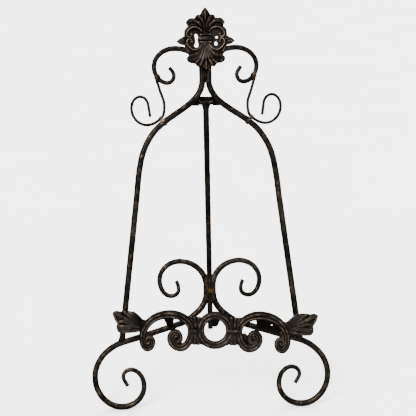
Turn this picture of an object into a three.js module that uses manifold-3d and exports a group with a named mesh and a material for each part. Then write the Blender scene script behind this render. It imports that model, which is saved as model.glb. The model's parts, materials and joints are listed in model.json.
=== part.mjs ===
// Tabletop display easel of bent round bar, with a cast crest, a cast ledge and a folding rear leg.
// Millimetres, +Z up. The easel faces -Y, and its origin is on the floor in the middle of its footprint.
//
// The frame is drawn in its own leaning plane: x is to the right, height is measured up the slope from
// the floor, and "forward" is the distance in front of that plane.

import * as THREE from 'three';
import { mergeVertices } from 'three/addons/utils/BufferGeometryUtils.js';
import Module from 'manifold-3d';

const wasm = await Module();
wasm.setup();

// Driving dimensions.
const LEAN = 17; // degrees that the frame leans back
const LEG_ANGLE = 18.5; // degrees that the open leg stands out behind the vertical
const BAR = 4; // half the thickness of the main bar
const WIRE = 1.8; // half the thickness of the thin wire
const GAP = 0.3; // clearance where two pieces meet and are welded
const FOOT_FLAT = 0.4; // depth that is filed flat on each foot

const NECK = BAR + GAP / 2; // each bar's distance from the middle where a pair touches
const FLOOR_HEIGHT = (BAR - FOOT_FLAT) / Math.cos(rad(LEAN)); // of the bar's middle over a foot

// Each wire is held by two collars: the upper on the bar's scroll, the lower round bar and wire.
const UPPER_COLLAR = { spot: [62.1, 427.6], heading: -128, half: 3.1 };
const LOWER_COLLAR = { spot: [54.4, 369.2], heading: 140.5, apart: 6.3 };
const COLLAR_WALL = 0.8;
const COLLAR_WIDTH = 4.5;
const CORNER = 1.07; // how far a faceted bar's corners stand out, so that a collar clears them

const CREST_SHIFT = 1.3; // the crest is welded on a little right of the middle
const CREST_BACK = BAR + GAP;
const CREST_DEPTH = 5.5;
const CREST_BEVEL = 1;
const CREST_SLOT = { x: 12.3, radius: 2.6, low: 464.5, high: 477.5 };
const CREST_BAR = { reach: 7.2, height: 472, tall: 5.2, deep: 5, sunk: 1.5 };
const RIM = 1.7; // half the thickness of the crest's scrolled rims

const LEDGE_SHIFT = 5.7; // the ledge is welded on right of the middle
const LEDGE_TILT = 2; // so it follows the slope of the foot rods, and its right end is lower
const LEDGE_HEIGHT = 103.6; // of the middle of its ring
const LEDGE_BACK = 33; // forward distance of the casting's back
const CAST_DEPTH = 6.4;
const CAST_STEP = 1.2; // how much thinner the leaves and the bundles are
const RING_RADIUS = 18.1;
const RING_HALF = 4.4;
const BUNDLE_X = 23;
const BUNDLE = { end: 15, waist: 5, flare: 8.5, swell: 3 };
const STRAP = { reach: 7, low: -2.2, high: 1.6, proud: 0.8 };
const EYE_TAPER = 0.8;

const LUG_X = 58;
const LUG_THICK = 3.5;
const LUG_FRONT_HEIGHT = 16.5; // above the middle of the ring
const LUG_BACK_HEIGHT = 3;
const LUG_FRONT_WIDTH = 15;
const LUG_BACK_WIDTH = 7.5;
const LUG_BACK = 5; // forward distance of the centre lug's free end

const PIN_HEIGHT = 395;
const PIN_BEHIND = 10.2;
const PIN_RADIUS = 2;
const PIN_BORE = 2.2;
const PIN_HEAD = 3;
const PIN_HEAD_EDGE = 0.6; // length of the head's straight edge, before it tapers
const PIN_HEAD_LENGTH = 1.8;
const PIN_HEAD_TAPER = 0.6;
const BARREL_RADIUS = 3.3;
const BARREL_HALF = 8.4;
const PLATE_THICK = 2.5;
const PLATE_TOP = 402;
const PLATE_BOTTOM = 396.9;
const EAR_BOTTOM = 390;
const EAR_OUT = 19;
const EAR_TOP_OUT = 13;
const EAR_STEP = 3; // height of the square part of the ear's flange
const EAR_ROUND = 4.2;
const HEEL_HALF = 4;
const HEEL_THICK = 2;
const HEEL_LOW = 1; // of the heel's foot over the pin's axis, inside the barrel's wall
const LEG_FLARE = 12; // length over which the leg's flattened top turns round
const LEG_FLARE_WIDE = 6.6;
const LEG_FLARE_THIN = 2.8;
const LEG_SPARE = 12; // length left on the leg before its foot is cut level
const FLOOR_SPAN = 800;

const SIDES = 8;
const BEND_STEP = 15; // degrees of bend from one station of a bar to the next
const STRAIGHT_STEP = 60;

const BRONZE = { color: 0x2a221c, roughness: 0.48, metalness: 0.75 };
const CASTING = { color: 0x30271f, roughness: 0.55, metalness: 0.7 };
const WIRE_FINISH = { color: 0x1c1917, roughness: 0.5, metalness: 0.7 };
const HINGE_FINISH = { color: 0x171614, roughness: 0.6, metalness: 0.65 };

// Each course is a list of waypoints on the right-hand side: x, height, heading in degrees
// anticlockwise from +x, and half the bar's thickness there.
const MAIN_ROD = [
  [114.4, 87, 97, BAR],
  [92.2, 268, 97, BAR],
  [88.2, 303, 98.5, BAR],
  [78.2, 340.2, 117, BAR],
  [64, 360.8, 135, BAR],
  [54.4, 369.2, 140.5, BAR],
  [44, 376.5, 145.5, BAR],
  [21.9, 391.8, 141, BAR],
  [10.4, 403.5, 124, BAR],
  [NECK, 422, 90, BAR],
  [NECK, 437, 90, BAR],
  [39.5, 464, 0, 3.5],
  [66, 440.8, -90, 3.1],
  [48.8, 419.8, -180, 2.9],
  [40.5, 429.2, -270, 2.6],
  [45.8, 439.1, -305, 2.4],
];

const FOOT_ROD = [
  [108, 30.6, 62, 2.3],
  [113.5, 42.6, 90, 2.6],
  [103.5, 51.2, 180, 3],
  [86.9, 29.7, 270, 3.4],
  [115.3, FLOOR_HEIGHT, 360, BAR],
  [149.9, 42.2, 450, BAR],
  [112, 87, 524, BAR],
  [38, 109.6, 522, BAR],
  [16.8, 123.5, 500, BAR],
  [NECK, 150, 450, BAR],
  [NECK, 157, 450, BAR],
  [38.2, 189.6, 360, 3.5],
  [64.2, 165.4, 270, 3.2],
  [49.4, 145, 180, 2.9],
  [40, 153.1, 90, 2.5],
  [42.8, 164, 60, 2.3],
];

const WIRE_SCROLL = [
  [65, 429, -108, WIRE],
  [59.6, 412.4, -104, WIRE],
  [53.6, 390.5, -90, WIRE],
  [58.4, 374.1, -40, WIRE],
  [76.1, 366, 0, WIRE],
  [96.1, 387.9, 90, WIRE],
  [84.8, 402.7, 180, WIRE],
  [74.2, 391, 264, WIRE],
  [72.2, 377, 262, WIRE],
];

// The ledge's C-scroll, from the middle of the ring: outer curl, arch, inner curl.
const C_SCROLL = [
  [78.6, -9, -190, 2.8],
  [76.9, -13.8, -90, 3],
  [84, -21.6, 0, 3.8],
  [91, -10, 90, 4.2],
  [84, 7.5, 130, 4.8],
  [56, 18.7, 180, 5.3],
  [29.4, 0, 270, 4.8],
  [43, -20, 360, 4.8],
  [56, -9, 450, 4.4],
  [49.6, -1.4, 540, 4],
];
const OUTER_EYE = [83, -13, 5.5];
const INNER_EYE = [47, -8.6, 7.6];

const UPPER_RIM = [
  [5.5, 484.5, 60, RIM],
  [13.5, 488.8, 0, RIM],
  [24, 481.5, -90, RIM],
  [20, 475.6, -180, RIM],
];
const LOWER_RIM = [
  [4.5, 464, -60, RIM],
  [14, 458.2, 0, RIM],
  [24.2, 466.5, 90, RIM],
  [20, 472.6, 180, RIM],
];

function rad(degrees) {
  return THREE.MathUtils.degToRad(degrees);
}

/** A point of the leaning plane, or forward of it. */
function at(x, height, forward = 0) {
  return new THREE.Vector3(x, -forward, height);
}

/** The same course on the other side when side is -1. */
function onSide(course, side) {
  return course.map(([x, height, heading, half]) =>
    [side * x, height, side > 0 ? heading : 180 - heading, half]);
}

/** The curve between two waypoints: part of an ellipse, or an easy S where the heading hardly turns. */
function stretchBetween([x0, height0, heading0], [x1, height1, heading1]) {
  const turn = rad(heading1 - heading0);
  const pull = Math.abs(turn) < 0.01 ? 1 / 3 : (4 / 3) * Math.tan(turn / 4) / Math.sin(turn);
  const start = at(x0, height0);
  const end = at(x1, height1);
  const leave = at(Math.cos(rad(heading0)), Math.sin(rad(heading0)));
  const arrive = at(Math.cos(rad(heading1)), Math.sin(rad(heading1)));
  const chord = end.clone().sub(start);
  return new THREE.CubicBezierCurve3(
    start,
    start.clone().addScaledVector(leave, pull * chord.dot(leave)),
    end.clone().addScaledVector(arrive, -pull * chord.dot(arrive)),
    end,
  );
}

/** A bar's centreline, with more stations where it bends than where it is straight. */
class Course extends THREE.Curve {
  constructor(waypoints, bendStep = BEND_STEP) {
    super();
    this.waypoints = waypoints;
    this.stretches = [];
    this.starts = [0];
    for (let i = 1; i < waypoints.length; i++) {
      const stretch = stretchBetween(waypoints[i - 1], waypoints[i]);
      const bends = Math.abs(waypoints[i][2] - waypoints[i - 1][2]) / bendStep;
      const steps = Math.max(1, Math.ceil(bends), Math.ceil(stretch.getLength() / STRAIGHT_STEP));
      this.stretches.push(stretch);
      this.starts.push(this.starts[i - 1] + steps);
    }
    this.stations = this.starts[this.stretches.length];
  }

  locate(t) {
    const station = t * this.stations;
    let i = this.stretches.length - 1;
    while (i > 0 && station < this.starts[i]) i--;
    const share = (station - this.starts[i]) / (this.starts[i + 1] - this.starts[i]);
    return [i, share];
  }

  getPoint(t) {
    const [i, share] = this.locate(t);
    return this.stretches[i].getPoint(share);
  }

  halfAt(t) {
    const [i, share] = this.locate(t);
    return THREE.MathUtils.lerp(this.waypoints[i][3], this.waypoints[i + 1][3], share);
  }

  getUtoTmapping(u) {
    return u;
  }
}

/** A regular polygon with the area of the unit circle. */
function unitSection(sides) {
  const radius = Math.sqrt(2 * Math.PI / sides / Math.sin(2 * Math.PI / sides));
  const corners = [];
  for (let i = 0; i < sides; i++) {
    const angle = 2 * Math.PI * (i + 0.5) / sides;
    corners.push(new THREE.Vector2(radius * Math.cos(angle), radius * Math.sin(angle)));
  }
  return new THREE.Shape(corners);
}

/** A bar along a course. Its half depth, front to back, is its half width unless depth is given. */
function bar(waypoints, { extra = 0, depth = null, sides = SIDES, bendStep = BEND_STEP } = {}) {
  const course = new Course(waypoints, bendStep);
  const geometry = new THREE.ExtrudeGeometry(unitSection(sides), {
    steps: course.stations,
    extrudePath: course,
  });
  const middles = course.getSpacedPoints(course.stations);
  const vertices = geometry.getAttribute('position');
  const vertex = new THREE.Vector3();
  for (let i = 0; i < vertices.count; i++) {
    vertex.fromBufferAttribute(vertices, i);
    let nearest = 0;
    for (let k = 1; k < middles.length; k++) {
      if (vertex.distanceToSquared(middles[k]) < vertex.distanceToSquared(middles[nearest])) nearest = k;
    }
    const half = course.halfAt(nearest / course.stations) + extra;
    vertex.sub(middles[nearest]);
    vertex.multiply(new THREE.Vector3(half, depth ?? half, half));
    vertex.add(middles[nearest]);
    vertices.setXYZ(i, vertex.x, vertex.y, vertex.z);
  }
  return geometry;
}

function toSolid(geometry) {
  const bare = geometry.clone();
  bare.deleteAttribute('normal');
  bare.deleteAttribute('uv');
  const merged = mergeVertices(bare);
  return new wasm.Manifold(new wasm.Mesh({
    numProp: 3,
    vertProperties: new Float32Array(merged.getAttribute('position').array),
    triVerts: new Uint32Array(merged.getIndex().array),
  }));
}

function toGeometry(solid) {
  const { vertProperties, triVerts } = solid.getMesh();
  const geometry = new THREE.BufferGeometry();
  geometry.setAttribute('position', new THREE.BufferAttribute(vertProperties, 3));
  geometry.setIndex(new THREE.BufferAttribute(triVerts, 1));
  geometry.computeVertexNormals();
  return geometry;
}

function joined(...geometries) {
  return toGeometry(geometries.map(toSolid).reduce((whole, piece) => whole.add(piece)));
}

/** What is left of a piece after the cutters, without any loose chip. */
function cut(geometry, ...cutters) {
  const left = cutters.map(toSolid).reduce((rest, cutter) => rest.subtract(cutter), toSolid(geometry));
  const [largest] = left.decompose().sort((a, b) => b.volume() - a.volume());
  return toGeometry(largest);
}

/** A plate whose outline is drawn in the leaning plane, with its back at the given forward distance. */
function plate(shape, back, depth, bevel = 0) {
  const geometry = new THREE.ExtrudeGeometry(shape, {
    depth: depth - 2 * bevel,
    curveSegments: 5,
    bevelEnabled: bevel > 0,
    bevelThickness: bevel,
    bevelSize: bevel,
    bevelOffset: -bevel,
    bevelSegments: 1,
  });
  geometry.rotateX(Math.PI / 2);
  geometry.translate(0, -(back + bevel), 0);
  return geometry;
}

/** A block between two corners: x, height and forward. */
function block([x0, height0, forward0], [x1, height1, forward1]) {
  const geometry = new THREE.BoxGeometry(x1 - x0, forward1 - forward0, height1 - height0);
  geometry.translate((x0 + x1) / 2, -(forward0 + forward1) / 2, (height0 + height1) / 2);
  return geometry;
}

/** A cylinder along x. */
function crossCylinder(radius, x0, x1, height, forward, sides = 20) {
  const geometry = new THREE.CylinderGeometry(radius, radius, x1 - x0, sides);
  geometry.rotateZ(Math.PI / 2);
  geometry.translate((x0 + x1) / 2, -forward, height);
  return geometry;
}

/** The outline of a tight belt round two circles, the second one a distance apart along x. */
function belt(path, radius0, radius1, apart) {
  const angle = Math.acos((radius0 - radius1) / apart);
  path.absarc(0, 0, radius0, angle, 2 * Math.PI - angle);
  path.absarc(apart, 0, radius1, -angle, angle);
  path.closePath();
  return path;
}

const group = new THREE.Group();
const leaning = new THREE.Group();
leaning.rotation.x = -rad(LEAN);
const ledge = new THREE.Group();
ledge.position.copy(at(LEDGE_SHIFT, LEDGE_HEIGHT));
ledge.rotation.y = rad(LEDGE_TILT);
const leg = new THREE.Group();
leg.position.copy(at(0, PIN_HEIGHT, -PIN_BEHIND)).applyEuler(leaning.rotation);
leg.rotation.x = rad(LEG_ANGLE);
leaning.add(ledge);
group.add(leaning, leg);
group.updateMatrixWorld(true);

function addMesh(parent, name, geometry, finish) {
  const mesh = new THREE.Mesh(geometry, new THREE.MeshStandardMaterial(finish));
  mesh.name = name;
  parent.add(mesh);
}

/** Everything below the floor, in the given group's own frame. */
function floorIn(parent) {
  const depth = FLOOR_SPAN / 10;
  return new THREE.BoxGeometry(FLOOR_SPAN, FLOOR_SPAN, depth)
    .translate(0, 0, -depth / 2)
    .applyMatrix4(parent.matrixWorld.clone().invert());
}

/** A collar round the main bar and the wire beside it, where both run at the same heading. */
function sharedCollar(side, [x, height], heading, apart) {
  const barSpace = BAR * CORNER + GAP;
  const wireSpace = WIRE * CORNER + 1.5 * GAP;
  const outline = belt(new THREE.Shape(), barSpace + COLLAR_WALL, wireSpace + COLLAR_WALL, apart);
  outline.holes.push(belt(new THREE.Path(), barSpace, wireSpace, apart));
  const geometry = new THREE.ExtrudeGeometry(outline, {
    depth: COLLAR_WIDTH,
    bevelEnabled: false,
    curveSegments: 8,
  });
  geometry.translate(0, 0, -COLLAR_WIDTH / 2);
  // The outline's x points from the bar to the wire, and the extrusion runs along the bar.
  const toWire = at(Math.cos(rad(heading - 90)), Math.sin(rad(heading - 90)));
  const along = at(Math.cos(rad(heading)), Math.sin(rad(heading)));
  toWire.x *= side;
  along.x *= side;
  geometry.applyMatrix4(new THREE.Matrix4().makeBasis(toWire, along.clone().cross(toWire), along));
  geometry.translate(side * x, 0, height);
  return geometry;
}

/** A collar round a bar alone. */
function sleeve(side, [x, height], heading, half) {
  const radius = half * CORNER + GAP;
  const profile = [
    new THREE.Vector2(radius, -COLLAR_WIDTH / 2),
    new THREE.Vector2(radius + COLLAR_WALL, -COLLAR_WIDTH / 2),
    new THREE.Vector2(radius + COLLAR_WALL, COLLAR_WIDTH / 2),
    new THREE.Vector2(radius, COLLAR_WIDTH / 2),
    new THREE.Vector2(radius, -COLLAR_WIDTH / 2),
  ];
  const geometry = new THREE.LatheGeometry(profile, 14);
  geometry.rotateX(Math.PI / 2);
  geometry.rotateY(-rad(side > 0 ? heading - 90 : 90 - heading));
  geometry.translate(side * x, 0, height);
  return geometry;
}

// The two bent frame bars, the foot scrolls and the wires.
for (const [side, sideName] of [[1, 'right'], [-1, 'left']]) {
  const footRod = onSide(FOOT_ROD, side);
  const mainRod = onSide(MAIN_ROD, side);
  const wire = onSide(WIRE_SCROLL, side);
  const collarReach = Math.hypot(UPPER_COLLAR.half * CORNER + GAP + COLLAR_WALL, COLLAR_WIDTH / 2);
  const upperCollar = sleeve(side, UPPER_COLLAR.spot, UPPER_COLLAR.heading, UPPER_COLLAR.half);
  const weldSpace = new THREE.SphereGeometry(collarReach + GAP, 16, 10)
    .translate(side * UPPER_COLLAR.spot[0], 0, UPPER_COLLAR.spot[1]);
  const lowerCollar = sharedCollar(side, LOWER_COLLAR.spot, LOWER_COLLAR.heading, LOWER_COLLAR.apart);
  const rodSpace = bar(mainRod, { extra: GAP });
  addMesh(leaning, `${sideName}_frame_rod`, cut(bar(mainRod), bar(footRod, { extra: GAP })), BRONZE);
  addMesh(leaning, `${sideName}_foot_scroll`, cut(bar(footRod), floorIn(leaning)), BRONZE);
  addMesh(leaning, `${sideName}_wire_scroll`, cut(bar(wire), weldSpace, rodSpace), WIRE_FINISH);
  addMesh(leaning, `${sideName}_upper_collar`, upperCollar, BRONZE);
  addMesh(leaning, `${sideName}_lower_collar`, lowerCollar, BRONZE);
}

// The crest casting: a leafy plate with two pierced slots, scrolled rims and a centre bar.
function crestShape() {
  // Each row is a control point and an end point of the right half, from the tip down.
  const top = [0, 516];
  const half = [
    [4.8, 511.5, 6.1, 506.6],
    [9, 505.6, 12.4, 502.8],
    [13.4, 500.2, 15.6, 500.1],
    [21.4, 499, 24.2, 494.6],
    [24.8, 491, 21.9, 489],
    [27.6, 485.5, 28, 477.6],
    [34, 477, 38.6, 471.4],
    [35, 466.6, 27.6, 466.4],
    [26.8, 458, 21.4, 453.6],
    [25.4, 451.6, 24.4, 447.4],
    [21.4, 443.4, 14, 443.8],
    [12, 439.2, 8.8, 439.6],
    [5.4, 440.4, 4.2, 440.8],
    [2.6, 437.2, 0, 434.2],
  ];
  const shape = new THREE.Shape();
  shape.moveTo(...top);
  for (const [cx, cy, x, y] of half) shape.quadraticCurveTo(cx, cy, x, y);
  for (let i = half.length - 1; i >= 0; i--) {
    const [cx, cy] = half[i];
    const [x, y] = i > 0 ? half[i - 1].slice(2) : top;
    shape.quadraticCurveTo(-cx, cy, -x, y);
  }
  for (const side of [1, -1]) {
    const hole = new THREE.Path();
    hole.absarc(side * CREST_SLOT.x, CREST_SLOT.high, CREST_SLOT.radius, 0, Math.PI);
    hole.absarc(side * CREST_SLOT.x, CREST_SLOT.low, CREST_SLOT.radius, Math.PI, 2 * Math.PI);
    hole.closePath();
    shape.holes.push(hole);
  }
  return shape;
}

function crestGeometry() {
  const front = CREST_BACK + CREST_DEPTH;
  const pieces = [plate(crestShape(), CREST_BACK, CREST_DEPTH, CREST_BEVEL)];
  const centreBar = crossCylinder(1, -CREST_BAR.reach, CREST_BAR.reach, 0, 0, 12);
  centreBar.scale(1, CREST_BAR.deep, CREST_BAR.tall);
  centreBar.translate(0, CREST_BAR.sunk - front, CREST_BAR.height);
  pieces.push(centreBar);
  for (const side of [1, -1]) {
    for (const rim of [UPPER_RIM, LOWER_RIM]) {
      const ridge = bar(onSide(rim, side), { sides: 6, bendStep: 30 });
      ridge.translate(0, -front, 0);
      pieces.push(ridge);
    }
  }
  return joined(...pieces);
}
addMesh(leaning, 'crest_casting', crestGeometry().translate(CREST_SHIFT, 0, 0), CASTING);

// The ledge casting, drawn from the middle of its ring.
function leafShape(side) {
  const outline = [
    [100, -5.5, 112, -4.6],
    [118, -5.2, 122, -4],
    [126.5, 2, 123.2, 7.2],
    [128, 12, 129.6, 18.6],
    [128, 22.8, 121, 21.4],
    [112, 24, 104, 22],
    [97.5, 19.5, 92, 14],
    [88, 11.6, 83, 11],
    [84, 4, 90, -1],
  ];
  const shape = new THREE.Shape();
  shape.moveTo(side * 90, -1);
  for (const [cx, cy, x, y] of outline) shape.quadraticCurveTo(side * cx, cy, side * x, y);
  return shape;
}

/** The bundle of flutes tied between the ring and a C-scroll: a waisted plate under a strap. */
function bundle(side) {
  const { end, waist, flare, swell } = BUNDLE;
  const shape = new THREE.Shape();
  const x = side * BUNDLE_X;
  shape.moveTo(x - flare, -end);
  shape.quadraticCurveTo(x, -end - swell, x + flare, -end);
  shape.quadraticCurveTo(x + waist, 0, x + flare, end);
  shape.quadraticCurveTo(x, end + swell, x - flare, end);
  shape.quadraticCurveTo(x - waist, 0, x - flare, -end);
  const strap = block(
    [x - STRAP.reach, STRAP.low, LEDGE_BACK - STRAP.proud / 2],
    [x + STRAP.reach, STRAP.high, LEDGE_BACK + CAST_DEPTH + STRAP.proud],
  );
  return joined(plate(shape, LEDGE_BACK, CAST_DEPTH - CAST_STEP), strap);
}

function eye([x, height, radius], side) {
  const disc = new THREE.CylinderGeometry(radius * EYE_TAPER, radius, CAST_DEPTH, 12);
  disc.rotateX(Math.PI);
  return disc.translate(side * x, -(LEDGE_BACK + CAST_DEPTH / 2), height);
}

function ledgeGeometry() {
  const middle = LEDGE_BACK + CAST_DEPTH / 2;
  const profile = [];
  for (let i = 0; i <= SIDES; i++) {
    const angle = 2 * Math.PI * (i + 0.5) / SIDES;
    const spread = 1 / Math.cos(Math.PI / SIDES);
    profile.push(new THREE.Vector2(
      RING_RADIUS + RING_HALF * Math.cos(angle),
      CAST_DEPTH / 2 * spread * Math.sin(angle),
    ));
  }
  const pieces = [new THREE.LatheGeometry(profile, 28).translate(0, -middle, 0)];
  for (const side of [1, -1]) {
    const scroll = bar(onSide(C_SCROLL, side), { depth: CAST_DEPTH / 2 });
    pieces.push(scroll.translate(0, -middle, 0));
    pieces.push(eye(OUTER_EYE, side), eye(INNER_EYE, side), bundle(side));
    pieces.push(plate(leafShape(side), LEDGE_BACK + CAST_STEP / 2, CAST_DEPTH - CAST_STEP, CREST_BEVEL));
  }
  return joined(...pieces);
}
addMesh(ledge, 'ledge_casting', ledgeGeometry(), CASTING);

// The lugs slope down from the casting's back to the foot rods, and carry the edge of a book.
function lugGeometry(x, back) {
  const front = LEDGE_BACK - GAP;
  const run = front - LUG_BACK;
  const slope = Math.atan2(LUG_FRONT_HEIGHT - LUG_BACK_HEIGHT, run);
  const length = (front - back) / Math.cos(slope);
  const shape = new THREE.Shape();
  shape.moveTo(-LUG_FRONT_WIDTH / 2, 0);
  shape.lineTo(LUG_FRONT_WIDTH / 2, 0);
  shape.lineTo(LUG_BACK_WIDTH / 2, length - LUG_BACK_WIDTH / 2);
  shape.absarc(0, length - LUG_BACK_WIDTH / 2, LUG_BACK_WIDTH / 2, 0, Math.PI);
  const geometry = new THREE.ExtrudeGeometry(shape, {
    depth: LUG_THICK,
    bevelEnabled: false,
    curveSegments: 6,
  });
  geometry.translate(0, 0, -LUG_THICK / 2);
  geometry.rotateX(-slope);
  return geometry.translate(x, -front, LUG_FRONT_HEIGHT);
}

for (const [x, sideName, back] of [[-LUG_X, 'left', 0], [0, 'centre', LUG_BACK], [LUG_X, 'right', 0]]) {
  const reach = LUG_FRONT_WIDTH;
  // The sloped plate would pass through the casting's back at its front end, so it is cut square.
  const castingSide = block([x - reach, -40, LEDGE_BACK - GAP], [x + reach, 40, LEDGE_BACK + reach]);
  const cutters = [castingSide];
  if (x !== 0) {
    const footRod = bar(onSide(FOOT_ROD, Math.sign(x)), { extra: GAP });
    const behind = block([x - reach, -40, -reach], [x + reach, 40, 0]);
    cutters.push(footRod.applyMatrix4(ledge.matrix.clone().invert()), behind);
  }
  addMesh(ledge, `${sideName}_ledge_lug`, cut(lugGeometry(x, back), ...cutters), HINGE_FINISH);
}

// The hinge: a stop plate and two bent ears on the backs of the main rods, and a pin with peened ends.
const PLATE_FRONT = -(BAR + GAP);
const PLATE_BACK = PLATE_FRONT - PLATE_THICK;
const EAR_IN = BARREL_HALF + GAP;
addMesh(leaning, 'hinge_plate',
  block([GAP - EAR_IN, PLATE_BOTTOM, PLATE_BACK], [EAR_IN - GAP, PLATE_TOP, PLATE_FRONT]), HINGE_FINISH);

for (const [side, sideName] of [[1, 'right'], [-1, 'left']]) {
  const [x0, x1] = [side * EAR_IN, side * (EAR_IN + PLATE_THICK)].sort((a, b) => a - b);
  const outline = new THREE.Shape([
    new THREE.Vector2(side * EAR_IN, EAR_BOTTOM),
    new THREE.Vector2(side * EAR_OUT, EAR_BOTTOM),
    new THREE.Vector2(side * EAR_OUT, EAR_BOTTOM + EAR_STEP),
    new THREE.Vector2(side * EAR_TOP_OUT, PLATE_TOP),
    new THREE.Vector2(side * EAR_IN, PLATE_TOP),
  ]);
  const flange = plate(outline, PLATE_BACK, PLATE_THICK);
  const web = block([x0, PIN_HEIGHT - EAR_ROUND, -PIN_BEHIND], [x1, PIN_HEIGHT + EAR_ROUND, PLATE_FRONT]);
  const tip = crossCylinder(EAR_ROUND, x0, x1, PIN_HEIGHT, -PIN_BEHIND, 16);
  const bore = crossCylinder(PIN_BORE, x0 - 1, x1 + 1, PIN_HEIGHT, -PIN_BEHIND);
  addMesh(leaning, `${sideName}_hinge_ear`, cut(joined(flange, web, tip), bore), HINGE_FINISH);
}

function pinGeometry() {
  const shoulder = EAR_IN + PLATE_THICK + GAP;
  const edge = shoulder + PIN_HEAD_EDGE;
  const end = shoulder + PIN_HEAD_LENGTH;
  const profile = [
    new THREE.Vector2(0, -end),
    new THREE.Vector2(PIN_HEAD * PIN_HEAD_TAPER, -end),
    new THREE.Vector2(PIN_HEAD, -edge),
    new THREE.Vector2(PIN_HEAD, -shoulder),
    new THREE.Vector2(PIN_RADIUS, -shoulder),
    new THREE.Vector2(PIN_RADIUS, shoulder),
    new THREE.Vector2(PIN_HEAD, shoulder),
    new THREE.Vector2(PIN_HEAD, edge),
    new THREE.Vector2(PIN_HEAD * PIN_HEAD_TAPER, end),
    new THREE.Vector2(0, end),
  ];
  const geometry = new THREE.LatheGeometry(profile, 20);
  geometry.rotateZ(Math.PI / 2);
  return geometry.translate(0, PIN_BEHIND, PIN_HEIGHT);
}
addMesh(leaning, 'hinge_pin', pinGeometry(), HINGE_FINISH);

// The leg turns about the pin. It is drawn hanging from it along -Z, and its group swings it back.
function barrelGeometry() {
  const tube = crossCylinder(BARREL_RADIUS, -BARREL_HALF, BARREL_HALF, 0, 0);
  const bore = crossCylinder(PIN_BORE, -BARREL_HALF - 1, BARREL_HALF + 1, 0, 0);
  // The heel stands up behind the stop plate, so it is turned back by the angle between leg and frame.
  const heel = block(
    [-HEEL_HALF, HEEL_LOW, PIN_BEHIND + PLATE_BACK - GAP - HEEL_THICK],
    [HEEL_HALF, PLATE_TOP - PIN_HEIGHT - 1, PIN_BEHIND + PLATE_BACK - GAP],
  );
  heel.rotateX(-rad(LEAN + LEG_ANGLE));
  return cut(joined(tube, heel), bore);
}
addMesh(leg, 'leg_barrel', barrelGeometry(), HINGE_FINISH);

function legGeometry() {
  const length = leg.position.z / Math.cos(rad(LEG_ANGLE)) + LEG_SPARE;
  // The bar is one thick here, and its real thickness is set below.
  const course = [0, LEG_FLARE / 2, LEG_FLARE, length].map(down => [0, -down, -90, 1]);
  const geometry = bar(course, { sides: 10 });
  const vertices = geometry.getAttribute('position');
  for (let i = 0; i < vertices.count; i++) {
    // The top is forged flat and wide, and it turns round over the length of the flare.
    const share = THREE.MathUtils.smoothstep(-vertices.getZ(i), 0, LEG_FLARE);
    vertices.setX(i, vertices.getX(i) * THREE.MathUtils.lerp(LEG_FLARE_WIDE, BAR, share));
    vertices.setY(i, vertices.getY(i) * THREE.MathUtils.lerp(LEG_FLARE_THIN, BAR, share));
  }
  const barrelSpace = crossCylinder(BARREL_RADIUS + GAP, -BARREL_HALF - 1, BARREL_HALF + 1, 0, 0);
  return cut(geometry, barrelSpace, floorIn(leg));
}
addMesh(leg, 'leg_rod', legGeometry(), BRONZE);

// The origin is moved to the floor, in the middle of the footprint.
const extent = new THREE.Box3().setFromObject(group, true);
const footprint = extent.getCenter(new THREE.Vector3());
group.position.set(-footprint.x, -footprint.y, -extent.min.z);

export default group;
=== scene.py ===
"""Looks of the display easel: hammered bars and wires, sculpted castings and a hinge, in oil-rubbed bronze.

Lengths below are millimetres in the easel's own planes, and to_row, on_ledge and on_leg turn them into
metres in the row frame. The frame's plane leans back: x is to the right, s is measured up the slope from the
floor, and n is the distance in front of the plane.
"""

import json
import math

import bmesh
import bpy
import numpy as np
from mathutils import Matrix, Vector, noise
from mathutils.geometry import tessellate_polygon


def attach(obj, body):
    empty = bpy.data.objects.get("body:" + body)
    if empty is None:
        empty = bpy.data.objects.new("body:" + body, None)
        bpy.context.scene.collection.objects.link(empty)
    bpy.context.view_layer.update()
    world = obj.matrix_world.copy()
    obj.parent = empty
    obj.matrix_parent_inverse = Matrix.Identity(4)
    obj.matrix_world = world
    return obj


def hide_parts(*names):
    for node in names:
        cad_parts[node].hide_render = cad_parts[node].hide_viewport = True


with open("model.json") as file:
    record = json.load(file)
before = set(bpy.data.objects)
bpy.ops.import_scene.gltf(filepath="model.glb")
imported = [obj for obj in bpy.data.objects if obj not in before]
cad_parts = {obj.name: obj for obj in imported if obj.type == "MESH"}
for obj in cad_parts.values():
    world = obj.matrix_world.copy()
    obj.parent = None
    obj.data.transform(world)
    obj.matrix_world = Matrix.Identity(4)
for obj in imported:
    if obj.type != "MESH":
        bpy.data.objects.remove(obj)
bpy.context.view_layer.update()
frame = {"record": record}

MM = 0.001
LEAN = math.radians(17)
LEG_ANGLE = math.radians(18.5)
PIN_S = 395.0
PIN_BEHIND = 10.2  # how far behind the frame's plane the leg's pin is
pin = next(j for j in frame["record"]["behaviour"]["joints"] if j["name"] == "leg_fold")["pos_m"]
PIN_Y = pin[1] / MM
PIN_Z = pin[2] / MM
PLANE_Y = PIN_Y - PIN_S * math.sin(LEAN) - PIN_BEHIND * math.cos(LEAN)

BAR = 4.02  # half the thickness of the main bar, before its hammered skin
WIRE = 1.95  # half the thickness of the thin wire
NECK = 4.15  # each bar's distance from the middle where a pair touches
FLOOR_S = 3.6 / math.cos(LEAN)  # of the bar's middle over a foot, which is filed flat
LEDGE_SHIFT = 5.7  # the ledge is welded on right of the middle
LEDGE_S = 103.6  # up the slope, of the middle of the ledge
LEDGE_TILT = math.radians(2)  # its right end is the lower one
FORWARD = np.array((0, 0, 1.0))  # along n
SIDES = ((1, "right"), (-1, "left"))


# ---------------------------------------------------------------- places

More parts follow.
